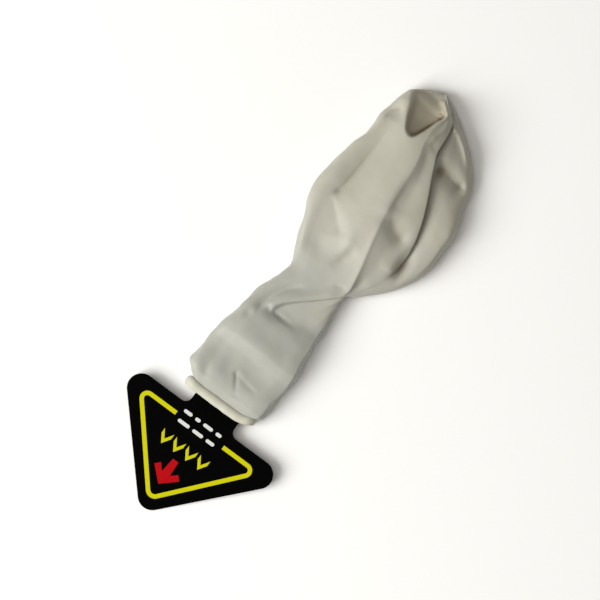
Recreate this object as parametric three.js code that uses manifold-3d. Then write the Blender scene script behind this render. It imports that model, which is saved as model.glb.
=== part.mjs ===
// An uninflated light-up party balloon, lying as it comes out of its packet.
//
// The balloon is one dipped latex bag: a neck with a rolled bead round its mouth, and a body that has sagged flat.
// A light unit is stuck inside the neck. Its coin cell stands on a strip of film that keeps the contact leaf off the
// cell. The strip leaves through the mouth and is taped under a triangular card: pulling the card lights the lamp.
//
// Millimetres. +X runs from the card's tip through the mouth towards the balloon's crown, +Z is up, and the balloon
// and the card's tip lie on z = 0. Inside this file x is counted from the mouth; the last lines centre the part.

import * as THREE from 'three';
import { mergeVertices } from 'three/addons/utils/BufferGeometryUtils.js';
import Module from 'manifold-3d';

const wasm = await Module();
wasm.setup();

// ---------- driving dimensions ----------

const SKIN = 0.35; // latex wall
const FIT = 0.05; // gap between pieces that rest on each other
const CUT_GAP = 0.3; // gap round a piece that another was cut to clear

// The light unit and the standard parts in it: a 12.5 x 2.0 mm lithium coin cell and a 3 mm lamp.
const UNIT = { start: 4.4, length: 16.4, width: 18, corner: 4.5, bottom: 1.25, seam: 4.0, top: 6.1, wall: 0.8 };
const CELL = { diameter: 12.5, height: 2.0, capDiameter: 9.6, capDrop: 0.3, metal: 0.25 };
const LAMP = { diameter: 3.0, flange: 3.8, flangeLength: 0.9, length: 5.3, lead: 0.45, leadSpacing: 1.8 };
const SHEET_METAL = 0.2;

// The pull tab.
const STRIP = { width: 13.4, thickness: 0.2, bottom: 2.75, innerEnd: 15.4, outerEnd: -4.4 };
const TAPE = { width: 12, thickness: 0.1 };
const CARD = {
  thickness: 0.4,
  innerEnd: 2.4, // the neck of the card ends just inside the mouth
  neckWidth: 15.8,
  crease: -5.0, // where the card bends down to the table
  base: -6.3, // the long edge of the triangle, nearest the balloon
  tip: -39.4,
  cornerRadius: 4.4,
  halfBase: 21.9, // from the centre line to a corner's arc centre
  fillet: 2.3, // between the long edge and the neck
};

// The rolled bead round the mouth, pressed flat into a slot.
const BEAD = { along: 3.2, thick: 2.4, halfWidth: 12.3, gap: 1.35, sectionSides: 12, straightSteps: 10, endSteps: 8 };

// The balloon's outline on the table and its height, at places chosen from the mouth to the crown.
// Each is x, right edge, left edge, height.
const STATIONS = [
  [1.9, -11.8, 12.2, 6.3],
  [5.5, -13.2, 14.6, 7.9],
  [16, -13.8, 15.0, 8.1],
  [27, -12.7, 12.8, 7.6],
  [38, -11.8, 10.1, 7.2],
  [46.5, -11.3, 8.3, 8.4],
  [54, -17.6, 11.0, 10.8],
  [63, -24.4, 14.6, 13.0],
  [74, -26.4, 16.6, 14.8],
  [86, -25.4, 14.6, 15.2],
  [96, -22.4, 12.8, 14.6],
  [104, -16.8, 11.9, 12.6],
  [110, -9.6, 9.2, 9.2],
  [114.6, -2.4, 3.8, 4.2],
];
const CROWN_X = 115.8;
const SKIN_RINGS = 26;
const SKIN_SIDES = 30;

// ---------- levels and places that follow ----------

const stripTop = STRIP.bottom + STRIP.thickness;
const cellBottom = stripTop + FIT;
const cellTop = cellBottom + CELL.height;
const plateBottom = cellTop + FIT;
const plateTop = plateBottom + SHEET_METAL;
const lidInside = plateTop + FIT;
const floorTop = UNIT.bottom + 0.7;
const unitEnd = UNIT.start + UNIT.length;
const cellX = UNIT.start + UNIT.wall + 0.25 + CELL.diameter / 2;
const lampZ = (UNIT.bottom + UNIT.top) / 2;
const lampRear = unitEnd - UNIT.wall - LAMP.flangeLength - 0.1;
const leadX = lampRear - 0.5; // centre of the bent part of a lead, behind the lamp
const tapeBottom = stripTop + FIT;
const cardBottom = tapeBottom + TAPE.thickness + FIT;

// ---------- materials ----------

const finish = (color, roughness, metalness = 0) => new THREE.MeshStandardMaterial({ color, roughness, metalness });

const latex = finish(0xd2d0c2, 0.5);
const foam = finish(0xe8e6df, 0.95);
const whitePlastic = finish(0xf0efea, 0.4);
const steel = finish(0xc4c6c8, 0.3, 1);
const bronze = finish(0xb98a4a, 0.35, 1);
const gasketPlastic = finish(0x30343a, 0.6);
const cathodePowder = finish(0x1c1c1e, 0.95);
const separatorPaper = finish(0xf4f2ea, 0.9);
const lithium = finish(0xa9a9ad, 0.5, 1);
const epoxy = finish(0xeef2f4, 0.08);
const chipPhosphor = finish(0xe9d34a, 0.6);
const film = finish(0xdfe6ea, 0.15);
const tape = finish(0xe9e2c8, 0.5);
const blackCard = finish(0x0a0a0b, 0.35);

// ---------- solids ----------

// A closed geometry as a manifold-3d solid, and back.
function solid(geometry) {
  const bare = geometry.clone();
  for (const name of ['normal', 'uv']) bare.deleteAttribute(name);
  const merged = mergeVertices(bare, 1e-4);
  return new wasm.Manifold(
    new wasm.Mesh({
      numProp: 3,
      vertProperties: merged.attributes.position.array,
      triVerts: new Uint32Array(merged.index.array),
    }),
  );
}

function geometryOf(made) {
  const mesh = made.getMesh();
  const geometry = new THREE.BufferGeometry();
  geometry.setAttribute('position', new THREE.BufferAttribute(mesh.vertProperties, 3));
  geometry.setIndex(new THREE.BufferAttribute(mesh.triVerts, 1));
  return geometry;
}

// A surface through rings of points. It is closed at each end by a fan to the ring's middle, or, if the rings run
// round a loop, by joining the last ring to the first.
function loft(rings, loop = false) {
  const sides = rings[0].length;
  const points = rings.flat();
  const faces = [];
  const at = (ring, side) => (ring % rings.length) * sides + (side % sides);
  const spans = loop ? rings.length : rings.length - 1;
  for (let r = 0; r < spans; r++) {
    for (let s = 0; s < sides; s++) {
      faces.push(at(r, s), at(r + 1, s), at(r + 1, s + 1), at(r, s), at(r + 1, s + 1), at(r, s + 1));
    }
  }
  if (!loop) {
    for (const end of [0, rings.length - 1]) {
      const middle = rings[end].reduce((sum, p) => sum.add(p), new THREE.Vector3()).divideScalar(sides);
      points.push(middle);
      for (let s = 0; s < sides; s++) {
        const edge = [at(end, s), at(end, s + 1)];
        if (end) edge.reverse();
        faces.push(points.length - 1, ...edge);
      }
    }
  }
  const geometry = new THREE.BufferGeometry().setFromPoints(points);
  geometry.setIndex(faces);
  return geometry;
}

// A shape drawn on the table, from one level to another.
function plate(shape, bottom, top, curveSegments = 6) {
  const geometry = new THREE.ExtrudeGeometry(shape, { depth: top - bottom, bevelEnabled: false, curveSegments });
  return geometry.translate(0, 0, bottom);
}

// A shape drawn in x and z, made as wide as width about y = middle.
function sideways(shape, width, middle = 0, curveSegments = 6) {
  const geometry = new THREE.ExtrudeGeometry(shape, { depth: width, bevelEnabled: false, curveSegments });
  return geometry.rotateX(Math.PI / 2).translate(0, middle + width / 2, 0);
}

// A box between two corners.
function block(low, high) {
  const size = high.map((value, k) => value - low[k]);
  return new THREE.BoxGeometry(...size).translate(...low.map((value, k) => value + size[k] / 2));
}

// A profile of [radius, height] points spun about a vertical axis at x, y.
function turned(profile, x, y, segments = 32) {
  const points = profile.map(([radius, height]) => new THREE.Vector2(radius, height));
  return new THREE.LatheGeometry(points, segments).rotateX(Math.PI / 2).translate(x, y, 0);
}

// A shape through points, with straight sides.
const polygon = (points) => new THREE.Shape(points.map(([x, y]) => new THREE.Vector2(x, y)));

// A rectangle with rounded corners.
function roundedRectangle(x0, x1, halfWidth, radius) {
  const shape = new THREE.Shape();
  shape.absarc(x1 - radius, -halfWidth + radius, radius, -Math.PI / 2, 0);
  shape.absarc(x1 - radius, halfWidth - radius, radius, 0, Math.PI / 2);
  shape.absarc(x0 + radius, halfWidth - radius, radius, Math.PI / 2, Math.PI);
  shape.absarc(x0 + radius, -halfWidth + radius, radius, Math.PI, Math.PI * 1.5);
  return shape;
}

function piece(name, geometry, material) {
  const mesh = new THREE.Mesh(geometry, material);
  mesh.name = name;
  return mesh;
}

// ---------- balloon envelope ----------

// The outline and the height at a share of the way from the mouth to the crown.
const outlineCurve = new THREE.CatmullRomCurve3(
  STATIONS.map(([x, right, left]) => new THREE.Vector3(x, right, left)),
  false,
  'centripetal',
);
const heightCurve = new THREE.CatmullRomCurve3(
  STATIONS.map(([x, , , height]) => new THREE.Vector3(x, height, 0)),
  false,
  'centripetal',
);

// One ring of the skin, pulled in by inset on every side. The underside lies flat, the edges are folds a little above
// the table, and the top is a low arch with full shoulders.
function skinRing(share, inset) {
  const { x, y: right, z: left } = outlineCurve.getPoint(share);
  const height = heightCurve.getPoint(share).y;
  const foldZ = Math.min(1.6, height * 0.3);
  const middle = (right + left) / 2;
  const half = (left - right) / 2;
  const sideShare = (half - inset) / half;
  const heightShare = (height - 2 * inset) / height;
  const depthShare = (CROWN_X - inset - STATIONS[0][0]) / (CROWN_X - STATIONS[0][0]);
  const ring = [];
  for (let side = 0; side < SKIN_SIDES; side++) {
    const angle = (2 * Math.PI * side) / SKIN_SIDES;
    const across = Math.sign(Math.cos(angle)) * Math.abs(Math.cos(angle)) ** 0.8;
    const up = Math.sin(angle);
    const z = up >= 0 ? foldZ + (height - foldZ) * up ** 0.62 : Math.max(0, foldZ * (1 + 1.7 * up));
    const skinX = STATIONS[0][0] + (x - STATIONS[0][0]) * depthShare;
    ring.push(new THREE.Vector3(skinX, middle + half * across * sideShare, inset + z * heightShare));
  }
  return ring;
}

function balloonEnvelope() {
  const shares = Array.from({ length: SKIN_RINGS }, (_, ring) => ring / (SKIN_RINGS - 1));
  const outside = shares.map((share) => skinRing(share, 0)).reverse();
  const inside = shares.map((share) => skinRing(share, SKIN));
  return piece('balloon_envelope', loft([...outside, ...inside]), latex);
}

// ---------- mouth bead ----------

// The bead's centre line is a slot standing in the mouth's plane; a rounded section is carried round it.
function mouthBead() {
  const rise = (BEAD.thick + BEAD.gap) / 2; // from the middle of the slot to a run's centre line
  const middleZ = BEAD.thick / 2 + rise;
  const halfRun = BEAD.halfWidth - BEAD.thick / 2 - rise;
  const line = [];
  for (const side of [1, -1]) {
    for (let step = 0; step < BEAD.straightSteps; step++) {
      const y = side * halfRun * (1 - (2 * step) / BEAD.straightSteps);
      line.push({ y, z: middleZ + side * rise, out: side * (Math.PI / 2) });
    }
    for (let step = 0; step < BEAD.endSteps; step++) {
      const out = side * (Math.PI / 2) + (Math.PI * step) / BEAD.endSteps;
      line.push({ y: -side * halfRun + rise * Math.cos(out), z: middleZ + rise * Math.sin(out), out });
    }
  }
  const rings = line.map(({ y, z, out }) =>
    Array.from({ length: BEAD.sectionSides }, (_, side) => {
      const angle = (2 * Math.PI * side) / BEAD.sectionSides;
      const proud = (BEAD.thick / 2) * Math.cos(angle);
      const along = (BEAD.along / 2) * Math.sin(angle);
      return new THREE.Vector3(along, y + proud * Math.cos(out), z + proud * Math.sin(out));
    }),
  );
  return piece('mouth_bead', loft(rings, true), latex);
}

// ---------- light unit ----------

const unitOutline = (inset) =>
  roundedRectangle(UNIT.start + inset, unitEnd - inset, UNIT.width / 2 - inset, UNIT.corner - inset);

// The round hole for the lamp through the front wall, shared by base and cover.
const lampHole = () => {
  const hole = new THREE.CylinderGeometry(LAMP.diameter / 2 + 0.15, LAMP.diameter / 2 + 0.15, 4, 32);
  return solid(hole.rotateZ(Math.PI / 2).translate(unitEnd, 0, lampZ));
};

// A recess inside the front wall for the lamp's flange.
const flangeRecess = () => {
  const radius = LAMP.flange / 2 + 0.15;
  const recess = new THREE.CylinderGeometry(radius, radius, LAMP.flangeLength + 0.2, 32);
  return solid(recess.rotateZ(Math.PI / 2).translate(lampRear + LAMP.flangeLength / 2, 0, lampZ));
};

function unitBase() {
  const stripSlot = block(
    [UNIT.start - 1, -STRIP.width / 2 - CUT_GAP, STRIP.bottom - CUT_GAP],
    [UNIT.start + 2, STRIP.width / 2 + CUT_GAP, stripTop + CUT_GAP],
  );
  let tray = solid(plate(unitOutline(0), UNIT.bottom, UNIT.seam))
    .subtract(solid(plate(unitOutline(UNIT.wall), floorTop, UNIT.seam + 1)))
    .subtract(solid(stripSlot));
  // Two rails guide the strip's long edges.
  for (const side of [-1, 1]) {
    const inner = side * (STRIP.width / 2 + CUT_GAP);
    const outer = side * (UNIT.width / 2 - UNIT.wall / 2);
    const low = [cellX - 2, Math.min(inner, outer), floorTop - 0.2];
    const high = [cellX + 2, Math.max(inner, outer), UNIT.seam - 0.6];
    tray = tray.add(solid(block(low, high)));
  }
  return piece('light_unit_base', geometryOf(tray.subtract(lampHole()).subtract(flangeRecess())), whitePlastic);
}

function unitCover() {
  const bottom = UNIT.seam + FIT;
  const ringInner = CELL.diameter / 2 + 0.2;
  const ringOuter = ringInner + 0.7;
  const cellRing = turned(
    [
      [ringInner, cellBottom + 0.4],
      [ringOuter, cellBottom + 0.4],
      [ringOuter, lidInside + 0.2],
      [ringInner, lidInside + 0.2],
      [ringInner, cellBottom + 0.4],
    ],
    cellX,
    0,
    40,
  );
  // The ring is open towards the lamp, for the contact plate and the leads.
  const leadGap = block([cellX + 3, -2.8, UNIT.bottom], [lampRear + 0.1, 2.8, lidInside]);
  const shell = solid(plate(unitOutline(0), bottom, UNIT.top))
    .subtract(solid(plate(unitOutline(UNIT.wall), bottom - 1, lidInside)))
    .add(solid(cellRing).intersect(solid(plate(unitOutline(UNIT.wall + 0.15), UNIT.bottom, UNIT.top))))
    .subtract(solid(leadGap));
  return piece('light_unit_cover', geometryOf(shell.subtract(lampHole()).subtract(flangeRecess())), whitePlastic);
}

// The foam pad that sticks the unit to the lower wall of the neck.
const foamPad = () =>
  piece(
    'foam_pad',
    plate(roundedRectangle(UNIT.start + 2.2, unitEnd - 2.2, 6, 1.5), SKIN + FIT, UNIT.bottom - FIT),
    foam,
  );

// ---------- coin cell ----------

// The can is the positive pole and faces up. The cap below it is the negative pole, held in the crimped can by a
// gasket. Between them lie the cathode pellet, the separator and the lithium disc.
function coinCell() {
  const outer = CELL.diameter / 2;
  const inner = outer - CELL.metal;
  const capRadius = CELL.capDiameter / 2;
  const rim = cellBottom + CELL.capDrop; // lowest edge of the can
  const roof = cellTop - CELL.metal;
  const can = [
    [0, roof],
    [inner, roof],
    [inner, rim],
    [outer - 0.1, rim],
    [outer, rim + 0.15],
    [outer, cellTop - 0.2],
    [outer - 0.2, cellTop],
    [0, cellTop],
  ];
  const gasketOuter = inner - 0.02;
  const gasket = [
    [capRadius + 0.02, rim],
    [gasketOuter, rim],
    [gasketOuter, roof - 0.5],
    [gasketOuter - 0.3, roof - 0.5],
    [gasketOuter - 0.3, rim + 0.35],
    [capRadius + 0.02, rim + 0.35],
    [capRadius + 0.02, rim],
  ];
  const capTop = cellBottom + CELL.metal;
  const cap = [
    [0, cellBottom],
    [capRadius - 0.2, cellBottom],
    [capRadius, cellBottom + 0.15],
    [capRadius, rim + 0.3],
    [capRadius - CELL.metal, rim + 0.3],
    [capRadius - CELL.metal, capTop],
    [0, capTop],
  ];
  const disc = (radius, bottom, top) => [
    [0, bottom],
    [radius, bottom],
    [radius, top],
    [0, top],
  ];
  const stackRadius = capRadius - CELL.metal - 0.1;
  const lithiumTop = capTop + 0.4;
  const separatorTop = lithiumTop + 0.15;
  const spin = (profile) => turned(profile, cellX, 0, 40);
  return [
    piece('coin_cell_can', spin(can), steel),
    piece('coin_cell_gasket', spin(gasket), gasketPlastic),
    piece('coin_cell_cap', spin(cap), steel),
    piece('coin_cell_lithium_disc', spin(disc(stackRadius, capTop + 0.02, lithiumTop)), lithium),
    piece('coin_cell_separator', spin(disc(stackRadius, lithiumTop + 0.02, separatorTop)), separatorPaper),
    piece('coin_cell_cathode_pellet', spin(disc(stackRadius, separatorTop + 0.02, roof - 0.02)), cathodePowder),
  ];
}

// ---------- contacts ----------

// The plate between the can and the lid, reaching forward over the anode lead.
function topContact() {
  const disc = solid(plate(new THREE.Shape().absarc(cellX, 0, 2.6, 0, 2 * Math.PI), plateBottom, plateTop));
  const arm = solid(block([cellX, -1.9, plateBottom], [leadX + 0.3, 1.9, plateTop]));
  return piece('top_contact_plate', geometryOf(disc.add(arm)), bronze);
}

// The leaf is welded to a tab on the floor and rises to a dimple that presses on the strip, and on the cap once the
// strip is gone.
const leafRoot = cellX + 4.4;
const leafWidth = 3.4;
const leafTabTop = floorTop + FIT + SHEET_METAL;

const leafTab = () =>
  piece(
    'leaf_anchor_tab',
    block([leafRoot + 0.1, -leafWidth / 2, floorTop + FIT], [leadX + 0.3, leafWidth / 2, leafTabTop]),
    bronze,
  );

function contactLeaf() {
  const tipX = cellX - 1.2;
  const crestX = cellX;
  const crest = STRIP.bottom - FIT;
  const rootTop = leafTabTop;
  const outline = [
    [leafRoot, rootTop - SHEET_METAL],
    [leafRoot, rootTop],
    [crestX, crest],
    [tipX, crest - 0.2],
    [tipX, crest - 0.2 - SHEET_METAL],
    [crestX, crest - SHEET_METAL],
  ];
  return piece('contact_leaf', sideways(polygon(outline), leafWidth), bronze);
}

// ---------- lamp ----------

// The leads run back out of the lamp and bend, the anode up to the plate and the cathode down to the leaf's tab.
// Inside the lamp the cathode ends in an anvil that carries the chip.
const anvil = { rear: lampRear + 1.5, front: lampRear + 2.5, y: -0.35, half: 0.6 };
const postFront = lampRear + 2.1;

function leadOutline(bendEnd) {
  const half = LAMP.lead / 2;
  const up = Math.sign(bendEnd - lampZ);
  return polygon([
    [postFront, lampZ - up * half],
    [postFront, lampZ + up * half],
    [leadX + half, lampZ + up * half],
    [leadX + half, bendEnd],
    [leadX - half, bendEnd],
    [leadX - half, lampZ - up * half],
  ]);
}

function lamp() {
  const radius = LAMP.diameter / 2;
  const shoulder = LAMP.length - radius;
  const profile = new THREE.Path();
  profile.moveTo(0, 0);
  profile.lineTo(LAMP.flange / 2, 0);
  profile.lineTo(LAMP.flange / 2, LAMP.flangeLength);
  profile.lineTo(radius, LAMP.flangeLength);
  profile.lineTo(radius, shoulder);
  profile.absarc(0, shoulder, radius, 0, Math.PI / 2);
  const body = new THREE.LatheGeometry(profile.getPoints(6), 28);
  body.rotateZ(-Math.PI / 2).translate(lampRear, 0, lampZ);

  const gap = 0.1;
  const anodeY = LAMP.leadSpacing / 2;
  const cathodeY = -anodeY;
  const pocketWidth = LAMP.lead + 2 * gap;
  const pocket = (y) =>
    solid(
      block(
        [lampRear - 1, y - pocketWidth / 2, lampZ - pocketWidth / 2],
        [postFront + gap, y + pocketWidth / 2, lampZ + pocketWidth / 2],
      ),
    );
  const chipSize = 0.35;
  const anvilPocket = block(
    [anvil.rear - gap, anvil.y - anvil.half - gap, lampZ - anvil.half - gap],
    [anvil.front + chipSize + 2 * gap, anvil.y + anvil.half + gap, lampZ + anvil.half + gap],
  );
  const lens = solid(body).subtract(pocket(anodeY)).subtract(pocket(cathodeY)).subtract(solid(anvilPocket));
  const anvilBlock = block(
    [anvil.rear, anvil.y - anvil.half, lampZ - anvil.half],
    [anvil.front, anvil.y + anvil.half, lampZ + anvil.half],
  );
  const cathode = solid(sideways(leadOutline(leafTabTop + FIT), LAMP.lead, cathodeY)).add(solid(anvilBlock));
  const chipBack = anvil.front + 0.02;
  const chip = block(
    [chipBack, anvil.y - chipSize / 2, lampZ - chipSize / 2],
    [chipBack + chipSize, anvil.y + chipSize / 2, lampZ + chipSize / 2],
  );
  return [
    piece('lamp_lens', geometryOf(lens), epoxy),
    piece('lamp_anode_lead', sideways(leadOutline(plateBottom - FIT), LAMP.lead, anodeY), steel),
    piece('lamp_cathode_lead', geometryOf(cathode), steel),
    piece('lamp_chip', chip, chipPhosphor),
  ];
}

// ---------- pull tab ----------

const pullStrip = () =>
  piece(
    'pull_strip',
    plate(roundedRectangle(STRIP.outerEnd, STRIP.innerEnd, STRIP.width / 2, 1.2), STRIP.bottom, stripTop),
    film,
  );

const stripTape = () =>
  piece(
    'strip_tape',
    block(
      [STRIP.outerEnd + 0.4, -TAPE.width / 2, tapeBottom],
      [CARD.innerEnd - 0.4, TAPE.width / 2, tapeBottom + TAPE.thickness],
    ),
    tape,
  );

// The card seen from above: a triangle with round corners, and a neck that joins its long edge with fillets.
function cardPlan() {
  const radius = CARD.cornerRadius;
  const tipX = CARD.tip + radius;
  const cornerX = CARD.base - radius;
  const slope = Math.atan2(CARD.halfBase, cornerX - tipX); // of a short side, from the centre line
  const neck = CARD.neckWidth / 2;
  const shape = new THREE.Shape();
  shape.absarc(tipX, 0, radius, Math.PI / 2 + slope, (Math.PI * 3) / 2 - slope);
  shape.absarc(cornerX, -CARD.halfBase, radius, (Math.PI * 3) / 2 - slope, Math.PI * 2);
  shape.absarc(CARD.base + CARD.fillet, -neck - CARD.fillet, CARD.fillet, Math.PI, Math.PI / 2, true);
  shape.lineTo(CARD.innerEnd, -neck);
  shape.lineTo(CARD.innerEnd, neck);
  shape.absarc(CARD.base + CARD.fillet, neck + CARD.fillet, CARD.fillet, -Math.PI / 2, -Math.PI, true);
  shape.absarc(cornerX, CARD.halfBase, radius, 0, Math.PI / 2 + slope);
  return shape;
}

// The card's side view is a sheet that runs level out of the mouth and then slopes from the crease to the table.
// The part of it inside the plan is the card.
function tabCard() {
  const side = polygon([
    [CARD.innerEnd + 1, cardBottom],
    [CARD.innerEnd + 1, cardBottom + CARD.thickness],
    [CARD.crease, cardBottom + CARD.thickness],
    [CARD.tip, CARD.thickness],
    [CARD.tip, 0],
    [CARD.crease, cardBottom],
  ]);
  const sheet = solid(sideways(side, 2 * (CARD.halfBase + CARD.cornerRadius) + 2));
  const cutter = solid(plate(cardPlan(), -1, cardBottom + CARD.thickness + 1, 8));
  return piece('tab_card', geometryOf(sheet.intersect(cutter)), blackCard);
}

// ---------- assembly ----------

const balloon = new THREE.Group();
balloon.add(balloonEnvelope(), mouthBead());

const lightUnit = new THREE.Group();
lightUnit.add(foamPad(), unitBase(), unitCover(), ...coinCell(), topContact(), leafTab(), contactLeaf(), ...lamp());

const pullTab = new THREE.Group();
pullTab.add(pullStrip(), stripTape(), tabCard());

// The part's origin is on the table, under the middle of the outline.
const part = new THREE.Group();
const laid = new THREE.Group();
laid.add(balloon, lightUnit, pullTab);
part.add(laid);
const middle = new THREE.Box3().setFromObject(laid).getCenter(new THREE.Vector3());
laid.position.set(-middle.x, -middle.y, 0);

export default part;
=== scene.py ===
"""Looks of the light-up latex balloon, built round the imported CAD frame.

Everything new is worked out in millimetres from the middle of the mouth: x runs into the balloon, y across
it and z up from the table. place() turns that into metres in the frame.
"""

import bpy
import numpy as np
from mathutils import Matrix, Vector


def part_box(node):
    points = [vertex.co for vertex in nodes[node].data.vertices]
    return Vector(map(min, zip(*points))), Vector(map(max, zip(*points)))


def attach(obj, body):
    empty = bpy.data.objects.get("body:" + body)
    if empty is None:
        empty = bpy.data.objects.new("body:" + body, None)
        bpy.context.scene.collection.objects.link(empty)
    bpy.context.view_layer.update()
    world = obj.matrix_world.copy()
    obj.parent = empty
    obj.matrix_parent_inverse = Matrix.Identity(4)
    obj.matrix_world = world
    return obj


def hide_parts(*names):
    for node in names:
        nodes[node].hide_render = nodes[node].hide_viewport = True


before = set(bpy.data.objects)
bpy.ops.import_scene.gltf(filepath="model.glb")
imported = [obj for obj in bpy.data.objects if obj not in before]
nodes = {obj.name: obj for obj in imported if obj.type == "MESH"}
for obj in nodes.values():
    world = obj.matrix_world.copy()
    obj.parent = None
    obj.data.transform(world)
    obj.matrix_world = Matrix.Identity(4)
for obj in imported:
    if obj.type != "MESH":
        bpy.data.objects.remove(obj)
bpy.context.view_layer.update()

bead_low, bead_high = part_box("mouth_bead")
card_low, card_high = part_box("tab_card")
MM = 0.001
MOUTH = (bead_low + bead_high) / 2

LATEX_WALL = 0.35
SLOT_MIDDLE = (0.35, 3.06)  # y and z of the middle of the mouth's slot
MOUTH_X = 0.3
CROWN_X = 114.6
RINGS = 288  # rings of the skin from the mouth to the crown
RING_CROWDING = 1.35  # above 1 the rings stand closer together towards the crown


# ---------- numbers along and across ----------


def place(points):
    """Points in mm from the middle of the mouth, as metres in the frame."""
    return np.asarray(points, float) * MM + np.array([MOUTH.x, MOUTH.y, 0.0])


def smooth_line(at, knots):
    """Values at the places given, on a smooth line through (place, value) knots.

    Cubic Hermite pieces. The slope at a knot is the harmonic mean of the slopes beside it, and 0 at a peak,
    so the line never swings past its knots.
    """
    spots, values = np.array(knots, float).T
    steps = np.diff(spots)
    slopes = np.diff(values) / steps
    same_way = slopes[:-1] * slopes[1:] > 0
    before, after = 2 * steps[1:] + steps[:-1], steps[1:] + 2 * steps[:-1]
    safe_left = np.where(same_way, slopes[:-1], 1)
    safe_right = np.where(same_way, slopes[1:], 1)
    inner = np.where(same_way, (before + after) / (before / safe_left + after / safe_right), 0)
    tangents = np.concatenate([[slopes[0]], inner, [slopes[-1]]])
    at = np.clip(at, spots[0], spots[-1])
    piece = np.clip(np.searchsorted(spots, at, side="right") - 1, 0, len(steps) - 1)
    length = steps[piece]
    t = (at - spots[piece]) / length
    return (
        values[piece] * (1 + 2 * t) * (1 - t) ** 2
        + tangents[piece] * length * t * (1 - t) ** 2
        + values[piece + 1] * t**2 * (3 - 2 * t)
        + tangents[piece + 1] * length * t**2 * (t - 1)
    )


def curve_through(points, count=72):
    """count points on a smooth curve through the given ones, at even steps along their chords."""
    points = np.array(points, float)
    run = np.concatenate([[0], np.cumsum(np.linalg.norm(np.diff(points, axis=0), axis=1))])
    at = np.linspace(0, run[-1], count)
    return np.stack([smooth_line(at, np.stack([run, column], 1)) for column in points.T], 1)


def beside(path, x, y):
    """For each x, y: the distance to a path, negative to its right, and the share of the way along it."""
    line = curve_through(path)
    start, step = line[:-1], np.diff(line, axis=0)
    length = np.linalg.norm(step, axis=1)
    offset = np.stack([x, y], -1)[..., None, :] - start
    share = np.clip((offset * step).sum(-1) / length**2, 0, 1)
    gap = offset - share[..., None] * step
    far = np.linalg.norm(gap, axis=-1)
    nearest = far.argmin(-1)
    pick = (*np.indices(nearest.shape), nearest)
    turn = step[nearest][..., 0] * offset[pick][..., 1] - step[nearest][..., 1] * offset[pick][..., 0]
    return np.sign(turn) * far[pick], (nearest + share[pick]) / len(step)


def swell(t, rise, fall):
    """1 along the middle of a path and 0 at its ends, rising and falling smoothly over the shares given."""
    up = np.clip(t / rise, 0, 1)
    down = np.clip((1 - t) / fall, 0, 1)
    return (up * up * (3 - 2 * up)) * (down * down * (3 - 2 * down))


def step_up(d, width):
    """0 well below d = 0 and 1 well above, changing smoothly over about the width."""
    return 0.5 + 0.5 * np.tanh(d / width)


# ---------- the skin's guide lines ----------

# The creases and ridges that run along the balloon, as knots of (x, y) and (x, z). The skin is drawn across
# them. Heights that start at x = 30 are used only beyond the neck, where skin_guides() brings them in.

RIGHT_EDGE_Y = [
    (1.8, -11.5), (3.4, -12.7), (8, -13.0), (14, -13.7), (18, -13.8), (24, -13.1), (32, -12.1), (38, -11.8),
    (43, -11.3), (47.4, -11.25), (50, -14), (56, -19.6), (60, -23), (65, -25), (71, -26.2), (80, -26.5),
    (86, -25.4), (92, -23.8), (98, -21.9), (101, -19.4), (104, -16.5), (107, -12.6), (110, -8.5), (113, -3.4),
    (114.6, 0.2),
]
LEFT_EDGE_Y = [
    (1.8, 12.4), (3, 13.2), (5.5, 15.1), (8, 15.1), (14, 15.0), (20, 13.9), (26, 12.7), (32, 11.7), (38, 9.9),
    (42, 8.6), (45.5, 8.0), (49, 8.7), (53, 10.3), (59, 12.6), (65, 14.7), (70, 15.9), (74, 16.0), (80, 15.0),
    (86, 13.9), (92, 12.2), (94.5, 12.1), (98, 12.5), (102, 11.9), (107, 10.7), (109.6, 9.7), (111.5, 7.6),
    (113, 5.0), (114.6, 1.6),
]
RIDGE_Y = [
    (1.8, 1.5), (16, 3), (28, 4.8), (32, 4.5), (34.5, 3.3), (37, 0.9), (41, -3.8), (45, -8.2), (48, -10.7),
    (50, -11.0), (55, -10.2), (62, -8.6), (69, -7.0), (77, -5.6), (87, -4.9), (94, -4.0), (99, -2.6),
    (103, -2.4), (107, -3.3), (109.5, -3.8), (112, -1.6), (114.6, 0.8),
]
RIDGE_Z = [
    (1.8, 5.9), (3.6, 6.9), (6.6, 7.25), (12.8, 6.8), (15.4, 7.0), (17.4, 7.65), (19.6, 8.35), (22, 8.45),
    (27, 8.2), (31, 7.7), (34, 7.4), (41, 7.5), (45, 7.6), (48.5, 7.9), (52, 8.7), (58, 10.0), (66, 11.6),
    (72, 12.8), (76, 13.4), (88, 13.8), (98, 13.0), (104, 11.6), (109, 9.0), (112.5, 5.4), (114.6, 3.4),
]
LIP_Y = [
    (1.8, -4.5), (16, -5), (30, -5.2), (37, -6.8), (41, -8.4), (45, -10.2), (48.5, -11.15), (50, -12.2),
    (55, -15.2), (58, -16.8), (61, -18.0), (64, -18.75), (68, -18.85), (72, -18.4), (79, -16.4), (87, -12.9),
    (94, -9.5), (99, -7.5), (104, -7.0), (107.5, -6.2), (111, -3.4), (114.6, 0.6),
]
LIP_Z = [
    (30, 7.1), (37, 6.5), (46, 6.1), (50, 6.8), (56, 7.9), (61, 7.9), (64, 7.7), (70, 8.2), (76, 9.2),
    (81, 10.2), (88, 11.2), (95, 11.2), (102, 10.0), (107, 8.4), (110, 7.0), (114.6, 3.3),
]
CREASE_Z = [
    (30, 7.0), (37, 6.5), (46, 5.8), (50, 6.7), (56, 7.8), (60.5, 7.5), (63.5, 6.6), (66.5, 6.1), (70, 6.5),
    (76, 7.1), (81, 7.4), (88, 8.1), (95, 8.0), (102, 7.2), (107, 6.2), (110, 5.6), (114.6, 3.1),
]
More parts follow.
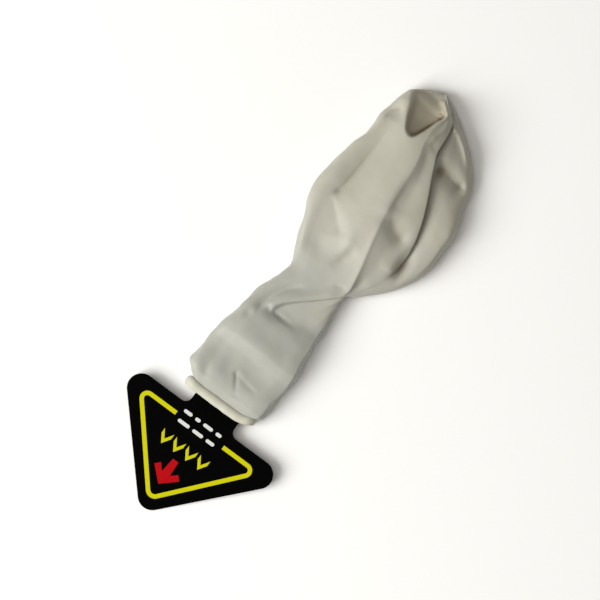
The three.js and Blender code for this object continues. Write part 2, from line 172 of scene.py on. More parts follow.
LOBE_INNER_Z = [
    (30, 7.0), (40, 6.2), (46, 5.5), (50, 6.4), (56, 7.6), (60, 7.5), (63, 6.9), (66, 6.9), (70, 7.2),
    (80, 7.9), (88, 8.6), (95, 8.8), (102, 7.6), (107, 6.3), (112, 4.4), (114.6, 3.0),
]
LOBE_CREST_Z = [
    (30, 6.8), (40, 6.0), (46, 5.0), (50, 5.9), (56, 7.2), (62, 7.3), (70, 7.6), (80, 8.1), (88, 8.2),
    (95, 8.0), (102, 7.1), (107, 5.9), (112, 4.3), (114.6, 2.9),
]
RIGHT_SHOULDER_Z = [
    (30, 5.7), (40, 5.0), (46, 4.1), (50, 4.8), (56, 6.4), (62, 6.9), (70, 7.4), (80, 7.6), (84, 7.2),
    (89, 5.9), (93, 5.4), (97, 6.2), (102, 5.8), (107, 4.6), (112, 3.0), (114.6, 2.4),
]
PANEL_Z = [
    (30, 7.3), (34, 6.7), (38, 6.35), (45, 6.3), (48.5, 6.9), (52, 7.6), (58, 8.8), (66, 10.0), (76, 11.2),
    (88, 12.0), (98, 12.0), (104, 10.6), (109, 8.6), (112.5, 5.8), (114.6, 3.4),
]
UPPER_Z = [
    (30, 7.4), (38, 7.2), (46, 7.4), (52, 7.8), (56, 8.4), (62, 9.9), (68, 11.2), (76, 12.4), (88, 13.0),
    (98, 12.5), (104, 11.2), (109, 8.6), (112.5, 4.7), (114.6, 3.1),
]
EAVE_Y = [
    (1.8, 8.0), (12, 9.2), (30, 8.6), (40, 6.2), (46, 4.7), (52, 6.2), (60, 8.8), (66, 9.8), (71, 9.9),
    (75, 9.0), (84, 8.3), (98, 8.2), (104, 8.4), (109, 7.6), (112, 4.8), (114.6, 1.2),
]
EAVE_Z = [
    (30, 6.9), (40, 6.7), (46, 6.8), (54, 7.5), (60, 8.5), (68, 9.4), (76, 9.5), (86, 9.4), (98, 9.6),
    (101.5, 9.2), (105.5, 9.3), (109, 8.0), (112.5, 4.4), (114.6, 3.0),
]
LEFT_SHOULDER_Z = [
    (30, 6.0), (46, 5.8), (52, 6.8), (60, 8.0), (68, 8.8), (76, 9.0), (88, 8.9), (94, 8.6), (98, 7.7),
    (101.5, 5.8), (106, 7.2), (108.5, 6.9), (111.5, 4.4), (114.6, 2.6),
]

NOT_SHARP = [(0, 0), (1, 0)]
BAG_POWER = 7  # the power of the oval across the neck: 2 is round, and more is boxier


def stuffed_flat(y, right, left, low, high):
    """The height at y of a flat bag with something thick in it: a boxy oval between its two edges."""
    across = np.clip(2 * (y - right) / (left - right) - 1, -1, 1)
    return low + (high - low) * (1 - np.abs(across) ** BAG_POWER) ** (1 / BAG_POWER)


def skin_guides(x):
    """The closed ring of guide points over each x, as (guide, x, 2) of y and z, and how sharp the skin is.

    The neck is a plain oval. Each guide leaves it for its own height over a stretch of x.
    """

    def line(knots):
        return smooth_line(x, knots)

    right, left, ridge = line(RIGHT_EDGE_Y), line(LEFT_EDGE_Y), line(RIDGE_Y)
    lip, eave, crown = line(LIP_Y), line(EAVE_Y), line(RIDGE_Z)
    # The skin under the lip is tucked in from x = 60.5, and the lip hangs over it from x = 61.
    tucked = line([(60.5, 0), (66, 1), (100, 1), (108, 0.4), (111, 0)])
    overhang = line([(61, 0), (66, 0.6), (69, 0.45), (77, 0.4), (84, 0.8), (97, 0.8), (103, 0.2), (107, 0)])
    crease = lip - 0.11 * (lip - right) * (1 - tucked) + overhang
    shoulder_share = line([(94, 0.1), (101, 0.26), (110, 0.28), (114.6, 0.15)])
    panel_share = line([(29.5, 0.5), (31.5, 0.12), (46, 0.1), (49, 0.4), (114.6, 0.4)])
    edge_z = line([(1.8, 2.9), (30, 2.7), (46, 2.2), (52, 1.8), (80, 1.8), (106, 1.8), (114.6, 2.0)])
    under_z = line([(1.8, 0.45), (6, 0.05), (110, 0.05), (114.6, 0.8)])
    rolled_z = under_z + 0.35
    half = (left - right) / 2
    middle = (left + right) / 2
    plain = np.zeros_like(x)

    def height(y, knots, leaves, drop):
        own = line([(leaves[0], 0), (leaves[1], 1)])
        return own * line(knots) + (1 - own) * stuffed_flat(y, right, left, edge_z, crown - drop)

    def past_hook(y):
        """The drop behind the light unit, at the hooked crease: a step that is softer towards -y."""
        bend = np.where(y > 1, 0.06, 0.012) * (y - 1) ** 2
        return 0.95 * step_up(x - 30.6 - bend, 0.4 + 0.3 * np.maximum(-y - 1, 0))

    shoulder = right + shoulder_share * (lip - right)
    lobe = right + (0.34 + shoulder_share) * (lip - right)
    lobe_inner = right + 0.78 * (lip - right)
    panel = ridge + panel_share * (lip - ridge)
    upper = ridge + 0.45 * (eave - ridge)
    left_shoulder = left - 0.12 * (left - eave)
    ridge_sharp = [(30.5, 0), (33, 0.9), (70, 0.75), (84, 0.4), (104, 0.5), (110, 0)]
    # Where a guide lies, its own heights, the stretch over which it takes them, whether it drops at the
    # hooked crease, and how sharp the skin is along it.
    top_guides = [
        (shoulder, RIGHT_SHOULDER_Z, (36, 50), True, [(1.8, 0.6), (46, 0.5), (56, 0.2)]),
        (lobe, LOBE_CREST_Z, (36, 50), True, NOT_SHARP),
        (lobe_inner, LOBE_INNER_Z, (36, 50), True, NOT_SHARP),
        (crease, CREASE_Z, (36, 50), True, [(63, 0), (68, 1), (107, 1), (110, 0)]),
        (lip, LIP_Z, (36, 50), True, [(62, 0), (69, 0.75), (107, 0.75), (110, 0)]),
        (panel, PANEL_Z, (40, 48), True, [(30.5, 0), (32.5, 0.8), (46, 0.8), (49, 0)]),
        (ridge, RIDGE_Z, (29, 35), False, ridge_sharp),
        (upper, UPPER_Z, (29, 42), False, NOT_SHARP),
        (eave, EAVE_Z, (34, 50), False, [(70, 0), (74, 0.45), (90, 0.3), (100, 0)]),
        (left_shoulder, LEFT_SHOULDER_Z, (34, 50), False, NOT_SHARP),
    ]
    guides = [(right, edge_z, plain)]
    for y, knots, leaves, drops, sharp_knots in top_guides:
        guides.append((y, height(y, knots, leaves, drops * past_hook(y)), line(sharp_knots)))
    guides += [
        (left, edge_z, plain),
        (left - 0.16 * half, rolled_z, plain),
        (middle + 0.45 * half, under_z, plain),
        (middle - 0.05 * half, under_z, plain),
        (middle - 0.5 * half, under_z, plain),
        (right + 0.16 * half, rolled_z, plain),
    ]
    places = np.array([(y, z) for y, z, _ in guides]).transpose(0, 2, 1)
    return places, np.array([sharp for _, _, sharp in guides])


# How a ring's points are shared out between the guides, on the upper skin and on the underside.
TOP_SHARES = [6, 12, 9, 5, 4, 16, 16, 20, 20, 14, 10]
UNDER_SHARES = [3, 7, 7, 7, 7, 3]


def skin_rings(x):
    """The skin as rings of points (ring, side, 3).

    Between two guides a ring is a cubic Hermite piece. At a guide its direction is the mean of the two chords
    that meet there, the shorter one counting more, turned towards the piece's own chord where it is sharp.
    """
    guides, sharp = skin_guides(x)
    chord = np.roll(guides, -1, 0) - guides
    length = np.linalg.norm(chord, axis=-1, keepdims=True)
    way = chord / np.maximum(length, 1e-6)
    way_in = np.roll(way, 1, 0)
    length_in = np.roll(length, 1, 0)
    smooth = (way * length_in + way_in * length) / np.maximum(length + length_in, 1e-6)
    leave = smooth + sharp[..., None] * (way - smooth)
    arrive = smooth + sharp[..., None] * (way_in - smooth)
    counts = np.array(TOP_SHARES + UNDER_SHARES)
    start = np.repeat(np.arange(len(counts)), counts)
    t = np.concatenate([np.arange(count) / count for count in counts])
    end = (start + 1) % len(counts)
    t = t[:, None, None]
    points = (
        guides[start] * (1 + 2 * t) * (1 - t) ** 2
        + leave[start] * length[start] * t * (1 - t) ** 2
        + guides[end] * t**2 * (3 - 2 * t)
        + arrive[end] * length[start] * t**2 * (t - 1)
    )
    y, z = points[..., 0].T, points[..., 1].T
    return np.stack([np.broadcast_to(x[:, None], y.shape), y, z], -1)


# ---------- folds, dents and pleats on the upper skin ----------


def fold_line(x, y, path, height, banks, ends, crisp):
    """A ridge along a path, or a valley where the height is below 0.

    Its section is exp(-|d / bank| ** power) over the distance d, with a bank to the left and one to the
    right of the path. The power is 2, a rounded section, where crisp is 0, and 1, a sharp edge, where crisp
    is 1. The ends are the shares of the path over which the fold rises and falls.
    """
    d, t = beside(path, x, y)
    bank = np.where(d > 0, *banks)
    return height * np.exp(-((np.abs(d) / bank) ** (2 - crisp))) * swell(t, *ends)


def mound(x, y, centre, size, height, turn):
    """A rounded mound, or a hollow where the height is below 0: exp(-u² - v²) over its two half sizes.

    The turn is in degrees, from x towards y.
    """
    along, across = x - centre[0], y - centre[1]
    cos, sin = np.cos(np.radians(turn)), np.sin(np.radians(turn))
    u, v = (along * cos + across * sin) / size[0], (across * cos - along * sin) / size[1]
    return height * np.exp(-(u**2) - v**2)


# Centre, half sizes along and across, height, and turn in degrees.
MOUNDS = [
    # The neck: the valley behind the light unit, hollows over it, and the dimple where the fold beside the
    # twist starts.
    ((23.2, 0.6), (2.4, 5.5), -0.1, -3),
    ((5.2, 9.6), (2.6, 1.6), -0.35, 20),
    ((9.8, 4.6), (3.0, 2.4), -0.35, 0),
    ((12.5, -5.0), (4.0, 4.0), -0.25, 0),
    ((26.8, 9.5), (1.7, 1.2), -0.4, -10),
    # The nose of the pucker at the top of the hooked crease.
    ((33.2, 5.0), (1.4, 1.0), 0.4, -30),
    # The body: the hollow behind the slanting crease, the bright swelling at its foot and the dimple where
    # the eave starts.
    ((56.0, 5.0), (4.6, 3.6), -0.7, 30),
    ((61.2, -2.2), (3.2, 2.0), 0.55, 20),
    ((71.8, 9.7), (1.7, 0.6), -0.3, -28),
    # The pillow under the main ridge, and the dark hollow at the start of the overlap.
    ((81.0, -11.6), (5.0, 2.6), 0.15, 12),
    ((65.0, -19.4), (3.8, 1.7), -1.7, 3),
    # The lower lobe, towards the crown.
    ((100.5, -13.5), (3.4, 4.5), 0.6, 20),
]

# Path, height, banks, ends and how crisp.
FOLD_LINES = [
    # The star of creases over the light unit.
    ([(3.8, -2.5), (6.6, -0.6), (8.8, 0.9), (10.6, 2.5)], -0.42, (0.6, 1.0), (0.7, 0.12), 0.5),
    ([(10.0, 1.6), (9.2, -1.6), (8.7, -5.0), (8.4, -8.3)], -0.24, (0.5, 0.8), (0.2, 0.4), 0.5),
    ([(2.4, 5.0), (2.9, 2.2), (3.6, -0.6), (4.3, -2.8), (5.2, -4.6)], -0.3, (0.7, 0.8), (0.3, 0.3), 0.3),
    # The band over the inner end of the light unit, steeper towards the mouth.
    ([(20.4, 11.0), (19.9, 6.0), (19.6, 0), (19.4, -9.5)], 0.8, (4.4, 3.2), (0.45, 0.45), 0.0),
    # The hooked crease, the rib that runs from its nose along the twist, and the valleys behind the rib.
    (
        [(32.8, 6.4), (31.8, 5.8), (30.9, 4.4), (30.5, 2.4), (30.5, 0.0), (30.8, -3.4)],
        -0.6, (0.9, 1.5), (0.2, 0.5), 0.3,
    ),
    (
        [(33.0, 5.2), (36.2, 3.0), (40.2, -1.2), (44.2, -5.8), (48.2, -9.6)],
        0.45, (1.7, 1.0), (0.12, 0.2), 0.0,
    ),
    (
        [(27.4, 8.4), (30.5, 7.9), (34, 7.1), (37.5, 5.4), (41, 2.7), (43.8, -0.9)],
        -0.95, (1.9, 0.9), (0.2, 0.4), 0.3,
    ),
    # Creases in the shoulder of the body, the slanting one that rises from it, and the step below the eave.
    ([(48.2, -5.6), (49.2, -8.0), (49.7, -10.2)], -0.25, (0.6, 0.8), (0.4, 0.3), 0.4),
    ([(52.0, -1.4), (56.6, -3.6), (62.0, -4.8)], -0.7, (1.3, 2.4), (0.45, 0.35), 0.1),
    ([(71.8, 12.8), (69.3, 10.0), (66, 6.0), (63, 2.9), (60.0, 0.8)], -0.75, (1.6, 4.0), (0.6, 0.2), 0.6),
    (
        [(69.6, 10.2), (72, 9.4), (75, 8.9), (80, 8.6), (90, 8.3), (99, 8.0)],
        -0.75, (1.2, 1.7), (0.1, 0.6), 0.9,
    ),
    # The roll of the main ridge.
    (
        [(48.6, -10.6), (50.2, -10.9), (55, -10.1), (62, -8.5), (69, -6.9), (75, -5.9)],
        0.2, (1.2, 0.8), (0.1, 0.4), 0.0,
    ),
    # The S-shaped valley under it.
    ([(92, -6.0), (84, -6.4), (77.5, -7.2), (74, -9.0)], -0.9, (2.8, 1.5), (0.5, 0.3), 0.2),
    ([(77, -6.8), (73.6, -9.2), (71.7, -12.6), (70.4, -17.8)], -1.5, (3.3, 3.0), (0.3, 0.35), 0.3),
    # The valley across the lower lobe.
    ([(94.2, -9.4), (95.2, -13), (94.8, -17), (94.4, -22.5)], -2.5, (2.3, 3.2), (0.15, 0.3), 0.4),
    # Round the crown: the kink in the upper edge, the tuck below the pocket, the pleats gathered at the tip
    # and the long pleat along the rim of the lower lobe.
    ([(100.0, 13.4), (101.4, 11), (103.4, 8.0)], -0.9, (2.4, 2.2), (0.2, 0.3), 0.6),
    ([(98.6, -4.0), (102, -4.3), (107, -5.4), (109.6, -4.8)], 0.35, (1.0, 0.8), (0.3, 0.2), 0.3),
    ([(98.2, -7.4), (99.2, -5.6), (100.6, -4.2)], -0.2, (0.8, 1.2), (0.3, 0.3), 0.2),
    ([(113.0, 1.2), (111.5, -0.9), (109.3, -3.7)], 1.1, (1.1, 0.9), (0.25, 0.2), 0.0),
    ([(113.6, -0.2), (111.8, -2.8), (109.5, -5.6)], -0.5, (0.9, 1.0), (0.3, 0.3), 0.0),
    (
        [(107.6, -6.6), (107.6, -8.6), (106.3, -11.2), (103.7, -14.8), (100.6, -18.4), (97.4, -21.2)],
        1.4, (0.8, 1.1), (0.06, 0.45), 0.1,
    ),
]


def folds(x, y):
    """How far the upper skin rises or sinks at each x, y, from all the folds that cross the guide lines."""
    mounds = sum(mound(x, y, *row) for row in MOUNDS)
    return mounds + sum(fold_line(x, y, *row) for row in FOLD_LINES)


# The two edges of the pocket, from the point of its V, and its depth along x.
POCKET_UPPER = [(97.1, 2.2), (98.2, 4.0), (101.0, 5.8), (104.5, 7.4), (108, 9.0), (111.5, 10.8)]
POCKET_LOWER = [(97.1, 2.2), (98.0, 0.9), (101, -0.7), (105, -2.1), (108.6, -3.3), (112.5, -0.4)]
POCKET_DEPTH = [(97.2, 3.2), (100, 4.6), (104, 5.6), (107, 5.1), (109.5, 3.4), (111.5, 1.7), (114, 0.3)]


def crown_pocket(x, y):
    """The height of the pocket at the crown, 0 or below: a V between two edges, deepest along the lower one.

    Both edges are sharp beside the point of the V. The upper one and the open end soften towards the rim.
    """
    upper, _ = beside(POCKET_UPPER, x, y)
    lower, _ = beside(POCKET_LOWER, x, y)
    soft = np.clip((x - 99) / 8, 0, 1)
    inside = step_up(-upper - 0.4 - 0.5 * soft, 0.35 + 0.6 * soft) * step_up(lower - 0.35, 0.25)
    shut = step_up(x - 97.6, 0.5) * (1 - step_up(x - 113.6, 0.7))
    across = np.clip(-upper / np.maximum(-upper + lower, 0.5), 0, 1)
    return -inside * shut * smooth_line(x, POCKET_DEPTH) * (0.5 + 0.5 * across)


PLEAT_POINT = (109.6, -4.6)
PLEAT_HEIGHT = 0.22
PLEAT_COUNT = 7  # waves in a full turn, of which the fan takes up a part


def rim_pleats(x, y):
    """The pleats that gather to a point below the pocket: low waves that fan out from it and fade away."""
    across, along = y - PLEAT_POINT[1], PLEAT_POINT[0] - x
    reach = np.hypot(across, along)
    angle = np.arctan2(across, along)
    fan = np.exp(-((reach / 5.5) ** 2)) * step_up(reach - 1.6, 0.8) * step_up(-3.4 - y, 0.8)
    return PLEAT_HEIGHT * fan * np.cos(PLEAT_COUNT * angle + 0.6)


def unevenness(x, y, seed, size, waves=14):
    """Gentle seeded hills about one unit high: sine waves about size mm long, in random directions."""
    random = np.random.default_rng(seed)
    total = np.zeros_like(x)
    for _ in range(waves):
        heading, phase = random.uniform(0, 2 * np.pi, 2)
        wave = 2 * np.pi / (size * random.uniform(0.7, 1.6))
        total += np.sin(wave * (x * np.cos(heading) + y * np.sin(heading)) + phase)
    return total / waves**0.5


# ---------- meshes ----------


def mesh_piece(name, vertices, faces, material, smooth=True):
    """An object of that mesh, given in mm from the mouth, with one material."""
    mesh = bpy.data.meshes.new(name)
    mesh.from_pydata(place(vertices).tolist(), [], faces)
    mesh.materials.append(material)
    mesh.polygons.foreach_set("use_smooth", np.full(len(mesh.polygons), smooth))
    mesh.update()
    piece = bpy.data.objects.new(name, mesh)
    bpy.context.scene.collection.objects.link(piece)
    return piece


def ring_faces(rings, sides, loop=False, end_cap=False):
    """Quads between rings of points, and a fan that closes the end to one more point after the rings."""
    spans = rings if loop else rings - 1
    r, s = np.meshgrid(np.arange(spans), np.arange(sides), indexing="ij")
    after, beyond = (r + 1) % rings, (s + 1) % sides
    quads = np.stack([r * sides + s, after * sides + s, after * sides + beyond, r * sides + beyond], -1)
    faces = quads.reshape(-1, 4).tolist()
    if end_cap:
        side, last = np.arange(sides), (rings - 1) * sides
        hub = np.full(sides, rings * sides)
        faces += np.stack([hub, last + (side + 1) % sides, last + side], 1).tolist()
    return faces


def set_attribute(piece, name, values):
    """A number for each vertex, for a material to read."""
    attribute = piece.data.attributes.new(name, "FLOAT", "POINT")
    attribute.data.foreach_set("value", np.asarray(values, np.float32))


# ---------- materials ----------


def linear(hex_colour):
    """An sRGB hex colour as linear RGBA."""
    channels = np.array([int(hex_colour[k : k + 2], 16) for k in (1, 3, 5)]) / 255
    straight = np.where(channels <= 0.04045, channels / 12.92, ((channels + 0.055) / 1.055) ** 2.4)
    return (*straight.tolist(), 1.0)


def add_node(material, kind, settings=None, **inputs):
    """A node with its settings and inputs. An input is an output to link from, or a value.

    An input is named as Blender names it, with _ for a space, or by its number after an i.
    """
    tree = material.node_tree
    node = tree.nodes.new(kind)
    for key, value in (settings or {}).items():
        setattr(node, key, value)
    for key, value in inputs.items():
        by_number = key[0] == "i" and key[1:].isdigit()
        socket = node.inputs[int(key[1:]) if by_number else key.replace("_", " ")]
        if isinstance(value, bpy.types.NodeSocket):
            tree.links.new(value, socket)
        else:
            socket.default_value = value
    return node


def new_material(name, **inputs):
    """A material with a Principled shader set up from the inputs, and that shader."""
    material = bpy.data.materials.new(name)
    material.use_nodes = True
    material.node_tree.nodes.clear()
    shader = add_node(material, "ShaderNodeBsdfPrincipled", **inputs)
    output = add_node(material, "ShaderNodeOutputMaterial")
    material.node_tree.links.new(shader.outputs["BSDF"], output.inputs["Surface"])
    return material, shader


def wire(material, shader, **inputs):
    """Links outputs to a shader's inputs after it is made."""
    for key, value in inputs.items():
        material.node_tree.links.new(value, shader.inputs[key.replace("_", " ")])


def dipped_latex(name, body, warm, shade, grime):
    """Natural rubber latex, dipped and powdered: a soft waxy sheen, faintly mottled, with brown painted shade
    in the folds.

    Its attribute fold is 0 on open skin and 1 deep in a crease, where it paints brown shade.
    Its attribute amber is 0 to 1 for a warmer, yellower skin: towards the crown, on the neck's twisted panel,
    as painted shade in the pocket, and in the yellow drop of rubber at the tip.
    """
    material, shader = new_material(
        name, Roughness=0.55, IOR=1.52, Subsurface_Weight=0.12, Subsurface_Radius=(1.0, 0.8, 0.55),
        Subsurface_Scale=0.0012, Sheen_Weight=0.06, Sheen_Roughness=0.5,
    )
    where = add_node(material, "ShaderNodeTexCoord").outputs["Object"]
    fold = add_node(material, "ShaderNodeAttribute", {"attribute_name": "fold"}).outputs["Fac"]
    amber = add_node(material, "ShaderNodeAttribute", {"attribute_name": "amber"}).outputs["Fac"]
    mottle, powder, grit, pucker = (
        add_node(
            material, "ShaderNodeTexNoise", Vector=where, Scale=scale, Detail=detail, Roughness=roughness
        ).outputs["Fac"]
        for scale, detail, roughness in (
            (110.0, 3.0, 0.55),  # mottling about 9 mm across, from uneven drying of the dip
            (2400.0, 2.0, 0.6),  # powder specks about 0.4 mm across
            (1500.0, 1.0, 0.5),  # brown specks about 0.7 mm across
            (620.0, 4.0, 0.55),  # fine puckers about 1.6 mm apart, too shallow to model
        )
    )
    # The specks show only where the dip ran thickest and dried last.
    tone, specks, thickest, rough = (
        add_node(
            material, "ShaderNodeMapRange", Value=value, From_Min=low, From_Max=high, To_Min=least, To_Max=top
        ).outputs["Result"]
        for value, low, high, least, top in (
            (mottle, 0.3, 0.7, 0.0, 1.0),
            (grit, 0.56, 0.62, 0.0, 0.8),
            (amber, 0.86, 0.98, 0.0, 1.0),
            (powder, 0.3, 0.7, 0.5, 0.62),
        )
    )
    dirt = add_node(
        material, "ShaderNodeMath", {"operation": "MULTIPLY"}, i0=specks, i1=thickest
    ).outputs["Value"]
    colour = linear(body[0])
    # The mottled tone, then the warm tint (partly painted shade), the painted shade of the folds, and the
    # grime of the specks.
    for share, tint in ((tone, body[1]), (amber, warm), (fold, shade), (dirt, grime)):
        colour = add_node(
            material, "ShaderNodeMix", {"data_type": "RGBA"}, i0=share, i6=colour, i7=linear(tint)
        ).outputs[2]
    bump = add_node(
        material, "ShaderNodeBump", Height=pucker, Strength=0.2, Distance=0.00018
    ).outputs["Normal"]
    wire(material, shader, Base_Color=colour, Roughness=rough, Normal=bump)
    return material


def speckled(name, colours, rough, grain, depth, **inputs):
    """A solid finish with two close tones, a grain of the size given and a bump of that depth, both in mm."""
    material, shader = new_material(name, **inputs)
    where = add_node(material, "ShaderNodeTexCoord").outputs["Object"]
    noise = add_node(
        material, "ShaderNodeTexNoise", Vector=where, Scale=1000.0 / grain, Detail=3.0, Roughness=0.6
    ).outputs["Fac"]
    share = add_node(
        material, "ShaderNodeMapRange", Value=noise, From_Min=0.3, From_Max=0.7, To_Min=0.0, To_Max=1.0
    ).outputs["Result"]
    light, dark = linear(colours[0]), linear(colours[1])
    colour = add_node(
        material, "ShaderNodeMix", {"data_type": "RGBA"}, i0=share, i6=light, i7=dark
    ).outputs[2]
    finish = add_node(
        material, "ShaderNodeMapRange", Value=share, To_Min=rough[0], To_Max=rough[1]
    ).outputs["Result"]
    bump = add_node(
        material, "ShaderNodeBump", Height=noise, Strength=0.5, Distance=depth * MM
    ).outputs["Normal"]
    wire(material, shader, Base_Color=colour, Roughness=finish, Normal=bump)
    return material


# Each latex gets two body tones, a warm tint, a brown for the painted shade in folds, and grime for the
# specks.
latex = dipped_latex("dipped_natural_latex", ("#aaaba4", "#a5a69d"), "#b9b199", "#6b5b43", "#43351d")
bead_latex = dipped_latex("rolled_natural_latex", ("#c4c3b5", "#bfbdad"), "#b3a98c", "#7d7058", "#43351d")
# Coated card: a dense, matt black with hardly any shine.
black_card = speckled(
    "coated_black_card", ("#000000", "#020202"), (0.55, 0.65), 0.8, 0.006, Specular_IOR_Level=0.02
)
# Screen inks, slightly proud and even.
INKS = {
    "yellow": (("#c9c60a", "#c0bd06"), 0.05),
    "red": (("#b3040f", "#a8030c"), 0.05),
    "white": (("#d6d6d4", "#cececc"), 0.1),
}
inks = {
    colour: speckled(f"{colour}_screen_ink", tones, (0.5, 0.6), 0.6, 0.004, Specular_IOR_Level=shine)
    for colour, (tones, shine) in INKS.items()
}


# ---------- balloon ----------


EDGE_FADE = 1.6  # how far from the two edges the folds die out
LEFT_WALL_SPAN = 16  # the ring's points this near the left edge belong to the left side wall


def balloon_envelope():
    """The crumpled bag: rings drawn across the guide lines, with the folds added to the upper skin."""
    share = np.linspace(0, 1, RINGS)
    x = MOUTH_X + (CROWN_X - MOUTH_X) * (1 - (1 - share) ** RING_CROWDING)
    points = skin_rings(x)
    # The first rings draw in, so that the skin comes out of the bead.
    drawn_in = smooth_line(x, [(MOUTH_X, 0.7), (1.3, 0.9), (2.3, 1.0)])[:, None, None]
    points[..., 1:] = SLOT_MIDDLE + (points[..., 1:] - SLOT_MIDDLE) * drawn_in
    sides = points.shape[1]
    upper = sum(TOP_SHARES)
    # These are views, so they follow each change to the points.
    px, py, pz = points[..., 0], points[..., 1], points[..., 2]
    side = np.arange(sides)
    inset = np.minimum(py - py[:, :1], py[:, upper : upper + 1] - py)
    near_edge = np.clip(inset / EDGE_FADE, 0, 1)
    on_top = near_edge * near_edge * (3 - 2 * near_edge) * (side < upper)
    at_ends = np.clip((px - 1.8) / 3, 0, 1) * np.clip((CROWN_X - px) / 3, 0, 1)
    lift = folds(px, py) + crown_pocket(px, py) + rim_pleats(px, py)
    lift += 0.13 * unevenness(px, py, 5, 16) + 0.015 * unevenness(px, py, 8, 5)
    pz += lift * on_top * at_ends
    # Long shallow wrinkles run along the two side walls. They die out at the table and towards the crown.
    outward = np.where(np.abs(side - upper) < LEFT_WALL_SPAN, 1, -1)
    above_table = np.clip((pz - 0.6) / 1.5, 0, 1)
    before_crown = np.clip((108 - px) / 8, 0, 1)
    on_wall = np.clip(1 - inset / EDGE_FADE, 0, 1) * above_table * before_crown * at_ends
    py += 0.32 * outward * on_wall * unevenness(px / 3, pz - 0.06 * px, 31, 3.4)
    # The underside sags onto the table beyond the neck, with hollows between.
    hollow = 0.35 * np.maximum(unevenness(px, py, 21, 16), 0)
    pz += hollow * (side > upper) * np.clip((px - 24) / 10, 0, 1) * at_ends
    np.maximum(pz, 0.03, out=pz)
    vertices = np.concatenate([points.reshape(-1, 3), points[-1].mean(0)[None]])
    piece = mesh_piece("crumpled_balloon", vertices, ring_faces(RINGS, sides, end_cap=True), latex)
    pocket = -crown_pocket(px, py)
    # Painted shade: the skin is browner deep in its creases and in the pocket.
    fold = np.maximum(fold_shade(pz), np.clip(pocket / 18, 0, 0.3) * on_top)
    set_attribute(piece, "fold", np.append(fold.ravel(), 0))
    # Warmer towards the crown and on the neck's twisted panel, with warm painted shade in the pocket; the dip
    # dried in a yellow drop at its tip.
    amber = smooth_line(px, [(42, 0.0), (62, 0.25), (92, 0.35), (114, 0.35)])
    amber += mound(px, py, (39, -6.5), (6, 4), 0.25, -10) + np.clip(pocket / 10, 0, 0.3)
    amber += mound(px, py, (108.2, -1.5), (2.2, 1.0), 0.6, 20)
    amber = np.clip(amber, 0, 1)
    set_attribute(piece, "amber", np.append(amber.ravel(), 1))
    wall = piece.modifiers.new("wall", "SOLIDIFY")
    wall.thickness = LATEX_WALL * MM
    wall.offset = -1
    wall.use_rim = True
    return piece


def fold_shade(z):
    """How deep each point lies in a fold, 0 to 1: how far it is below the mean of eight points round it."""
    around = np.zeros_like(z)
    for step in (4, 8):
        for axis in (0, 1):
            around += np.roll(z, step, axis) + np.roll(z, -step, axis)
    depth = around / 8 - z
    # The rings near the two ends have no neighbours on one side.
    ring = np.arange(len(z))
    inner = (ring > 9) & (ring < len(z) - 9)
    return np.clip((depth - 0.25) / 1.6, 0, 1) * inner[:, None]


BEAD_MIDDLE_X = -0.5
BEAD_HALF_RUN = 9.4  # half the straight run of the slot's middle line, along y
BEAD_BEND = 1.86  # the radius of its two bends, and half its height
BEAD_PROUD = 1.16  # half sizes of the bead's section: away from the slot, and along x
BEAD_ALONG = 1.55


def balloon_bead():
    """The rolled lip: an uneven round section, pressed flat, carried round the slot of the mouth."""
    steps, sides = 240, 28
    t = np.arange(steps) / steps
    straight = 2 * BEAD_HALF_RUN
    bend = np.pi * BEAD_BEND
    run = t * (2 * (straight + bend))
    # The slot's lower half is its upper half turned round.
    lower = run >= straight + bend
    local = np.where(lower, run - straight - bend, run)
    on_bend = local > straight
    angle = np.pi / 2 + np.clip((local - straight) / BEAD_BEND, 0, np.pi)
    y = np.where(on_bend, -BEAD_HALF_RUN + BEAD_BEND * np.cos(angle), BEAD_HALF_RUN - local)
    z = np.where(on_bend, BEAD_BEND * np.sin(angle), BEAD_BEND)
    out = np.where(on_bend, angle, np.pi / 2)
    flip = np.where(lower, -1, 1)
    y, z, out = y * flip, z * flip, out + np.pi * lower
    random = np.random.default_rng(3)
    waves = sum(
        random.uniform(0.3, 1) * np.sin(2 * np.pi * (k * t + random.uniform())) for k in (2, 3, 5, 8, 13)
    )
    # The bead bows into the neck at both ends of the slot.
    bow = 0.0045 * np.abs(np.minimum(y + 4, 0)) ** 3 + 0.008 * np.maximum(y - 6, 0) ** 2
    angle = 2 * np.pi * np.arange(sides)[None] / sides
    size = (1 + 0.025 * waves)[:, None]
    proud = BEAD_PROUD * size * np.sign(np.cos(angle)) * np.abs(np.cos(angle)) ** 0.85
    along = BEAD_ALONG * size * np.sin(angle)
    points = np.stack(
        [
            along + BEAD_MIDDLE_X + bow[:, None],
            y[:, None] + SLOT_MIDDLE[0] + proud * np.cos(out)[:, None],
            z[:, None] + SLOT_MIDDLE[1] + proud * np.sin(out)[:, None],
        ],
        -1,
    )
    points[..., 2] = np.maximum(points[..., 2], 0.02)
    piece = mesh_piece("rolled_bead", points.reshape(-1, 3), ring_faces(steps, sides, loop=True), bead_latex)
    for name in ("fold", "amber"):
        set_attribute(piece, name, np.zeros(steps * sides))
    return piece


envelope = balloon_envelope()
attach(envelope, "balloon")
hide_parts("balloon_envelope")

bead = balloon_bead()
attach(bead, "balloon")
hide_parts("mouth_bead")


# ---------- the print on the card ----------

CARD_THICK = 0.4
CARD_CREASE_X = -5.0
CARD_TIP_X = (card_low.x - MOUTH.x) / MM
CARD_TOP = card_high.z / MM
INK_LOW, INK_HIGH = 0.01, 0.035  # the ink's lower and upper faces, above the card

SLANT = np.degrees(np.arctan2(19.2, 21.7))  # how far the border's slanting sides turn from the card's length
BORDER_WIDTH = 1.35
CHEVRON_POINT_X, CHEVRON_TAIL_X = -20.6, -16.2
CHEVRON_HALF, CHEVRON_THICK = 1.75, 1.7
CHEVRON_Y = (7.3, 2.8, -1.7, -6.2)
DASH_RADIUS = 0.55
